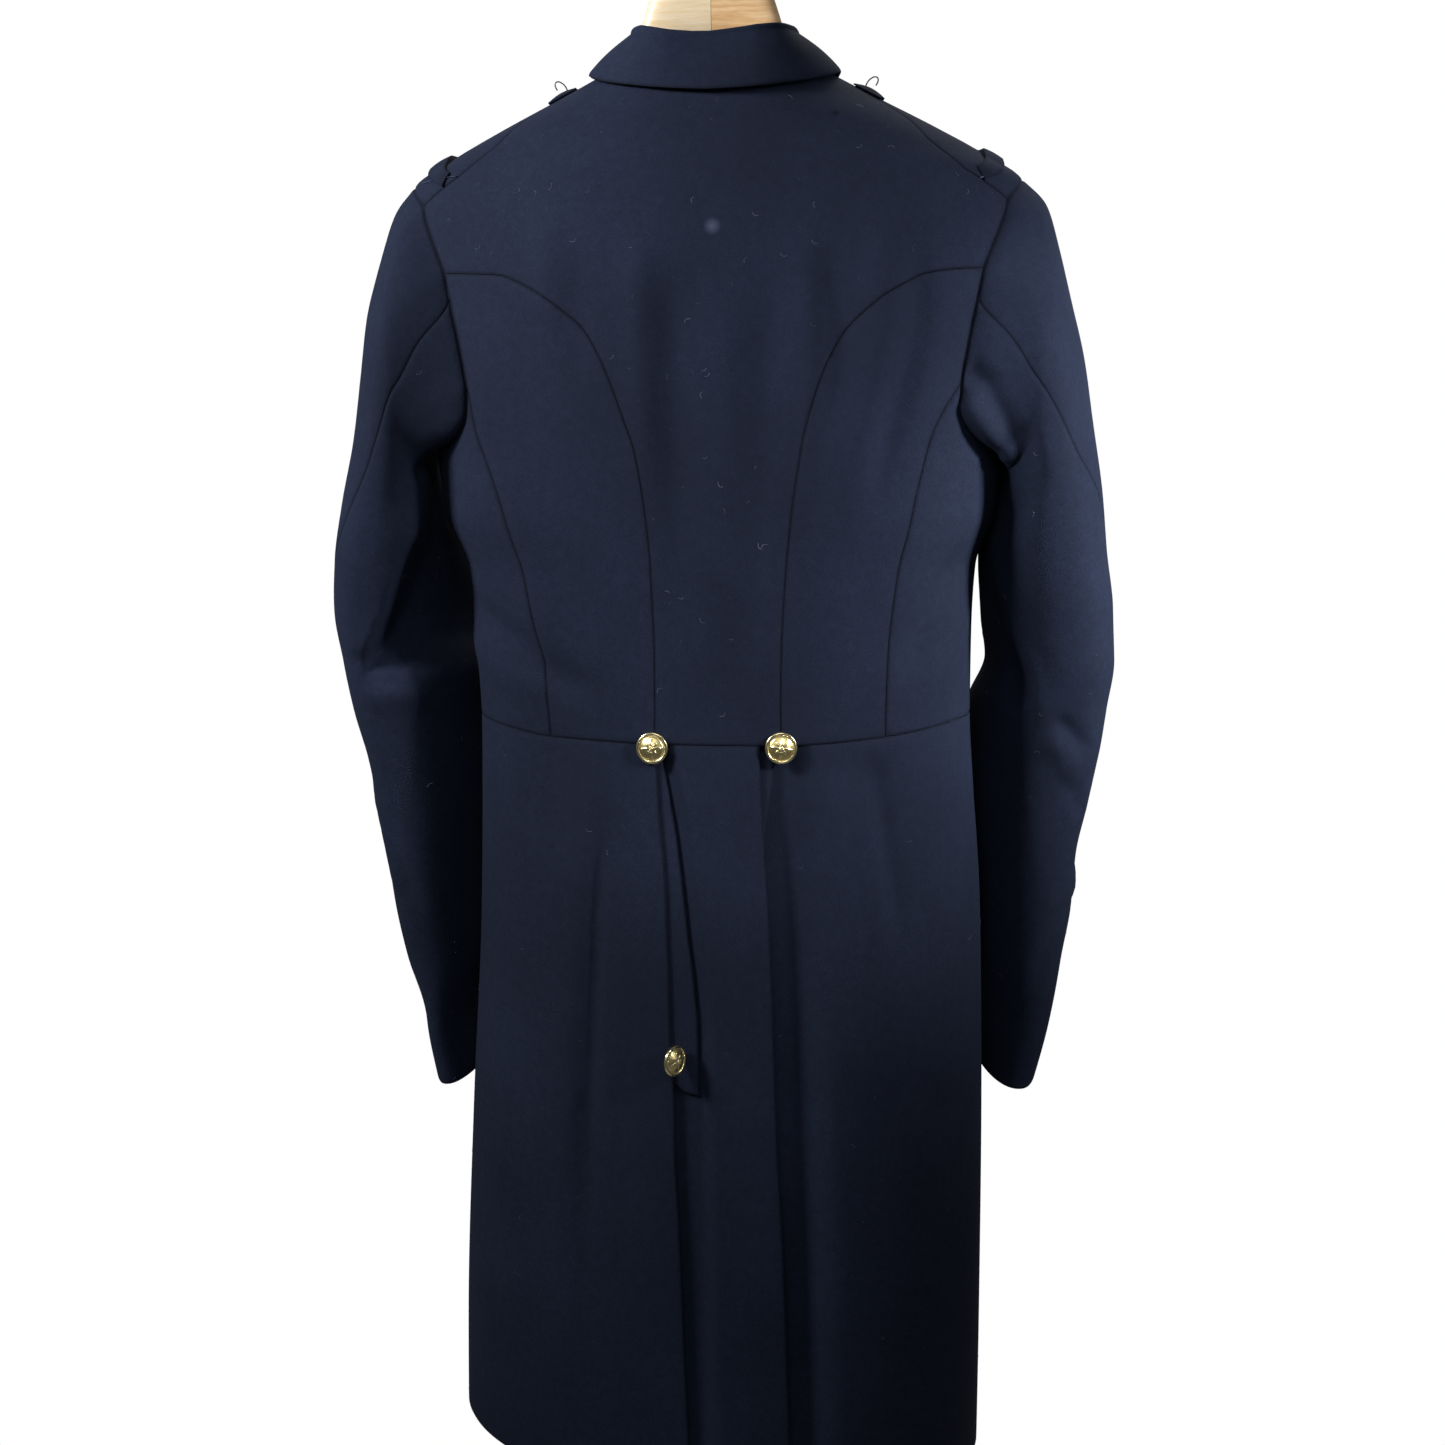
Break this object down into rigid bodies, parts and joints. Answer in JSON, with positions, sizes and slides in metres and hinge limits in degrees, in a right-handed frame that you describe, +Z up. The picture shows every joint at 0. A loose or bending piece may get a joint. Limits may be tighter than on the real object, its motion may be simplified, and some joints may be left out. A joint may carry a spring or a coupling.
{
  "type": "naval frock coat on a wooden coat hanger",
  "caption": "Dark navy wool officer's frock coat with curved back seams, pleated skirt and gilt buttons, hung on a two-piece contoured wooden hanger.",
  "frame": {"origin": "inside top of the hanger's hook, where a rail touches it", "axes": "+Z up, +Y towards the front of the coat, +X towards the wearer's right; the back, which the picture shows, faces -Y"},
  "size_m": [0.5747, 0.2598, 1.1982],
  "materials": {
    "wool": "matte melton wool",
    "gilt": "gilt, slightly worn",
    "wood_pale": "clear satin lacquer",
    "wood_warm": "clear satin lacquer",
    "steel": "plated",
    "wire": "dark"
  },
  "bodies": {
    "root": {"back": "wool", "collar": "wool", "skirt_left": "wool", "skirt_right": "wool", "skirt_centre": "wool", "side_body_left": "wool", "side_body_right": "wool", "forepart_left": "wool", "forepart_right": "wool", "lapel_left": "wool", "lapel_right": "wool", "upper_sleeve_left": "wool", "upper_sleeve_right": "wool", "under_sleeve_left": "wool", "under_sleeve_right": "wool", "side_flap_left": "wool", "side_flap_right": "wool", "shoulder_pad_left": "wool", "shoulder_pad_right": "wool", "shoulder_keeper_left": "wool", "shoulder_keeper_right": "wool", "waist_button_left": "gilt", "waist_button_right": "gilt", "flap_button": "gilt", "front_button_left_1": "gilt", "front_button_left_2": "gilt", "front_button_left_3": "gilt", "front_button_left_4": "gilt", "front_button_right_1": "gilt", "front_button_right_2": "gilt", "front_button_right_3": "gilt", "front_button_right_4": "gilt", "hanger_arm_left": "wood_pale", "hanger_arm_right": "wood_warm", "hook": "steel", "wire_eye_left": "wire", "wire_eye_right": "wire"}
  },
  "joints": []
}
